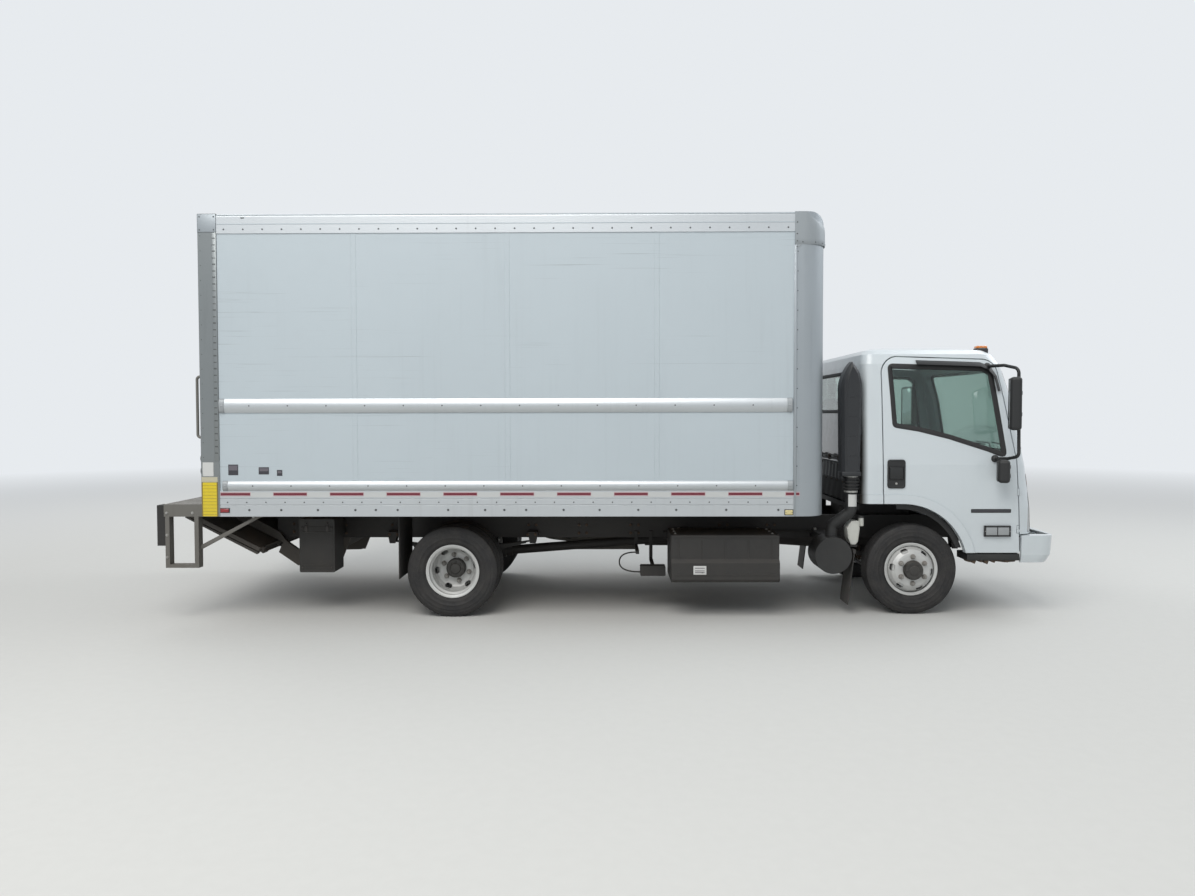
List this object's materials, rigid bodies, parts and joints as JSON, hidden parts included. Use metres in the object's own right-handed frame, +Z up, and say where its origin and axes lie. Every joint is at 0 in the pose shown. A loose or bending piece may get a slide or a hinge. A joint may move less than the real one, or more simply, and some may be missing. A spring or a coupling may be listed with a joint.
{
  "type": "box truck",
  "caption": "Cab-over box truck with a tilting cab, opening doors, steered front wheels, twin rear wheels, a closed load box with roll-up door, rear steps and a tuck-under lift gate.",
  "frame": {"origin": "middle of the whole truck's footprint, on the ground", "axes": "+X towards the front, +Y to the driver's left side, +Z up"},
  "size_m": [7.3998, 2.6868, 3.275],
  "materials": {
    "cab_paint": "gloss, dusty",
    "box_paint": "satin, weathered",
    "bright_aluminium": "satin, dulled",
    "galvanised": "matt, galvanised and dirty",
    "chassis_black": "satin, dusty",
    "gate_steel": "matt, worn",
    "rim_silver": "satin, brake dust",
    "tyre": "matt",
    "rubber": "matt",
    "glass": "green tint",
    "black_plastic": "grained",
    "white_plastic": "yellowed",
    "lamp_lens": "clear",
    "red_lens": "clear",
    "seat_cloth": "woven",
    "dash_plastic": "grained",
    "floor_wood": "worn",
    "engine_metal": "oily"
  },
  "bodies": {
    "chassis": {"frame": "chassis_black", "crossmembers": "chassis_black", "front_axle": "chassis_black", "rear_axle": "chassis_black", "leaf_springs": "chassis_black", "engine": "engine_metal", "drive_shaft": "chassis_black", "exhaust": "galvanised", "fuel_tank": "chassis_black", "side_box": "black_plastic", "air_cleaner": "black_plastic", "coolant_bottle": "white_plastic", "mudflaps": "rubber", "bumper": "cab_paint", "box_floor": "floor_wood", "box_sides": "box_paint", "box_front": "box_paint", "box_roof": "bright_aluminium", "side_rails": "bright_aluminium", "rear_frame": "box_paint", "rollup_door": "box_paint", "box_lamps": "red_lens", "grab_handles": "galvanised", "rear_steps": "galvanised", "dock_rubbers": "rubber", "gate_mount": "gate_steel", "pump_box": "chassis_black", "air_hose": "rubber", "valve_block": "chassis_black"},
    "cab": {"cab_shell": "cab_paint", "cab_glass": "glass", "front_panel": "cab_paint", "grille": "black_plastic", "cab_lamps": "lamp_lens", "cab_steps": "black_plastic", "seats": "seat_cloth", "dashboard": "dash_plastic", "snorkel": "black_plastic"},
    "door_left": {"door_left": "cab_paint", "door_glass_left": "glass", "door_fittings_left": "black_plastic"},
    "knuckle_left": {"knuckle_left": "chassis_black"},
    "front_wheel_left": {"front_tyre_left": "tyre", "front_rim_left": "rim_silver"},
    "rear_wheels_left": {"rear_tyres_left": "tyre", "rear_rims_left": "rim_silver"},
    "door_right": {"door_right": "cab_paint", "door_glass_right": "glass", "door_fittings_right": "black_plastic"},
    "knuckle_right": {"knuckle_right": "chassis_black"},
    "front_wheel_right": {"front_tyre_right": "tyre", "front_rim_right": "rim_silver"},
    "rear_wheels_right": {"rear_tyres_right": "tyre", "rear_rims_right": "rim_silver"},
    "tie_rod": {"tie_rod": "chassis_black"},
    "gate_arms": {"gate_arms": "gate_steel"},
    "gate_platform": {"gate_platform": "gate_steel"},
    "gate_ramp": {"gate_ramp": "gate_steel"},
    "gate_cylinder": {"gate_cylinder": "chassis_black"},
    "gate_rod": {"gate_rod": "galvanised"}
  },
  "joints": [
    {"name": "front_wheel_left_spin", "type": "hinge", "parent": "knuckle_left", "child": "front_wheel_left", "pos_m": [2.475, 0.8325, 0.376], "axis": [0, 1, 0], "continuous": true},
    {"name": "rear_wheels_left_spin", "type": "hinge", "parent": "chassis", "child": "rear_wheels_left", "pos_m": [-1.335, 0.825, 0.376], "axis": [0, 1, 0], "continuous": true},
    {"name": "front_wheel_right_spin", "type": "hinge", "parent": "knuckle_right", "child": "front_wheel_right", "pos_m": [2.475, -0.8325, 0.376], "axis": [0, 1, 0], "continuous": true},
    {"name": "rear_wheels_right_spin", "type": "hinge", "parent": "chassis", "child": "rear_wheels_right", "pos_m": [-1.335, -0.825, 0.376], "axis": [0, 1, 0], "continuous": true},
    {"name": "steer_right", "type": "hinge", "parent": "chassis", "child": "knuckle_right", "pos_m": [2.475, -0.69, 0.376], "axis": [0, 0, 1], "range_deg": [-35, 35]},
    {"name": "steer_left", "type": "hinge", "parent": "chassis", "child": "knuckle_left", "pos_m": [2.475, 0.69, 0.376], "axis": [0, 0, 1], "range_deg": [-35, 35]},
    {"name": "tie_rod_turn", "type": "hinge", "parent": "knuckle_right", "child": "tie_rod", "pos_m": [2.315, -0.69, 0.272], "axis": [0, 0, 1], "range_deg": [-35, 35]},
    {"name": "cab_tilt", "type": "hinge", "parent": "chassis", "child": "cab", "pos_m": [3.475, 0, 0.7], "axis": [0, 1, 0], "range_deg": [0, 45]},
    {"name": "door_left_swing", "type": "hinge", "parent": "cab", "child": "door_left", "pos_m": [3.323, 0.99, 0.8], "axis": [0, 0, -1], "range_deg": [0, 70]},
    {"name": "door_right_swing", "type": "hinge", "parent": "cab", "child": "door_right", "pos_m": [3.323, -0.99, 0.8], "axis": [0, 0, 1], "range_deg": [0, 70]},
    {"name": "gate_lift", "type": "hinge", "parent": "chassis", "child": "gate_arms", "pos_m": [-2.505, 0, 0.395], "axis": [0, -1, 0], "range_deg": [0, 38]},
    {"name": "platform_fold", "type": "hinge", "parent": "gate_arms", "child": "gate_platform", "pos_m": [-3.64, 0, 0.857], "axis": [0, 1, 0], "range_deg": [0, 191.4]},
    {"name": "ramp_fold", "type": "hinge", "parent": "gate_platform", "child": "gate_ramp", "pos_m": [-2.98773, 0, 0.50688], "axis": [0, -1, 0], "range_deg": [0, 180]},
    {"name": "cylinder_swing", "type": "hinge", "parent": "chassis", "child": "gate_cylinder", "pos_m": [-1.915, 0, 0.64], "axis": [0, -1, 0], "range_deg": [0, 0.7]},
    {"name": "rod_slide", "type": "slide", "parent": "gate_cylinder", "child": "gate_rod", "axis": [-0.9987, 0, -0.0518], "range_m": [0, 0.1458]}
  ],
  "couplings": [
    {"joint": "steer_left", "follows": "steer_right", "ratio": 1},
    {"joint": "tie_rod_turn", "follows": "steer_right", "ratio": -1},
    {"joint": "platform_fold", "follows": "gate_lift", "ratio": 5.0363},
    {"joint": "ramp_fold", "follows": "gate_lift", "ratio": 4.7363},
    {"joint": "cylinder_swing", "follows": "gate_lift", "ratio": 0.017},
    {"joint": "rod_slide", "follows": "gate_lift", "m_per_rad": 0.21838}
  ]
}
